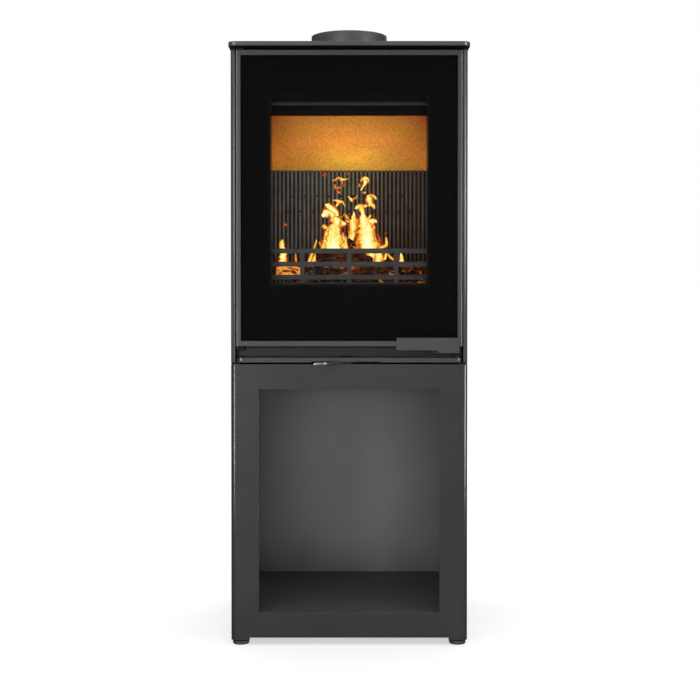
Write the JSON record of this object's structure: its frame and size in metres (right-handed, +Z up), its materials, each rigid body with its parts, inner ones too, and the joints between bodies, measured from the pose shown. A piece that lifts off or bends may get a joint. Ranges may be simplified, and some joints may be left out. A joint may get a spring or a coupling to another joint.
{
  "type": "wood burning stove",
  "caption": "Slim upright wood burning stove with a large glazed door, a sloping light baffle, an air lever and an open log-store pedestal.",
  "frame": {"origin": "on the floor, on the flue collar's axis, which is the middle of the overall box", "axes": "+Z up, the front (door) faces -Y, +X to the right seen from the front"},
  "size_m": [0.4484, 0.443, 1.168],
  "materials": {
    "anthracite_paint": "satin, fine texture",
    "black_paint": "matt heat-proof paint",
    "cast_iron": "as cast",
    "vermiculite": "pressed board, grainy",
    "zinc_steel": "zinc plated",
    "stainless": "turned",
    "glass": "gloss, black printed border",
    "seal_rope": "braided glass fibre"
  },
  "bodies": {
    "stove": {"base_shell": "anthracite_paint", "base_floor": "anthracite_paint", "base_floor_screws": "zinc_steel", "base_back": "anthracite_paint", "base_top": "anthracite_paint", "feet": "black_paint", "foot_brackets": "anthracite_paint", "foot_nuts": "zinc_steel", "body_spacers": "black_paint", "body_bolts": "zinc_steel", "bottom_tray": "anthracite_paint", "air_valve_plate": "black_paint", "air_pivot": "zinc_steel", "air_pivot_clip": "zinc_steel", "air_inlet": "black_paint", "inlet_duct": "black_paint", "air_box_front": "black_paint", "firebox_right_wall": "black_paint", "firebox_left_wall": "black_paint", "firebox_back_wall": "black_paint", "firebox_top": "black_paint", "firebox_front": "black_paint", "ash_floor": "black_paint", "hearth": "cast_iron", "grate": "cast_iron", "ash_pan": "black_paint", "baffle": "vermiculite", "back_lining": "cast_iron", "right_lining": "vermiculite", "left_lining": "vermiculite", "upper_deflector": "black_paint", "deflector_rails": "black_paint", "air_wash_deflector": "black_paint", "log_guard": "cast_iron", "right_side_panel": "anthracite_paint", "left_side_panel": "anthracite_paint", "panel_brackets": "black_paint", "rear_panel": "anthracite_paint", "rear_screws": "zinc_steel", "front_strip": "anthracite_paint", "top_plate": "anthracite_paint", "top_spacers": "black_paint", "flue_collar": "anthracite_paint", "collar_bolts": "zinc_steel", "hinge_brackets": "anthracite_paint", "hinge_pins": "zinc_steel", "hinge_washer": "zinc_steel", "door_keeper": "black_paint"},
    "door": {"door_frame": "anthracite_paint", "door_glass": "glass", "glass_tape": "seal_rope", "door_inner_frame": "black_paint", "door_rope": "seal_rope", "clamp_screws": "zinc_steel", "latch_pin": "zinc_steel", "latch_lug": "black_paint"},
    "handle": {"handle_plate": "anthracite_paint", "latch_arm": "black_paint"},
    "air_control": {"air_shutter": "black_paint", "air_lever_grip": "stainless"}
  },
  "joints": [
    {"name": "door_hinge", "type": "hinge", "parent": "stove", "child": "door", "pos_m": [-0.2065, -0.1785, 0.56], "axis": [0, 0, -1], "range_deg": [0, 100]},
    {"name": "handle_pivot", "type": "hinge", "parent": "door", "child": "handle", "pos_m": [0.197, -0.176, 0.549], "axis": [0, 0, 1], "range_deg": [0, 35]},
    {"name": "air_lever_pivot", "type": "hinge", "parent": "stove", "child": "air_control", "pos_m": [-0.003, -0.159, 0.528], "axis": [0, 0, 1], "range_deg": [0, 90]}
  ]
}
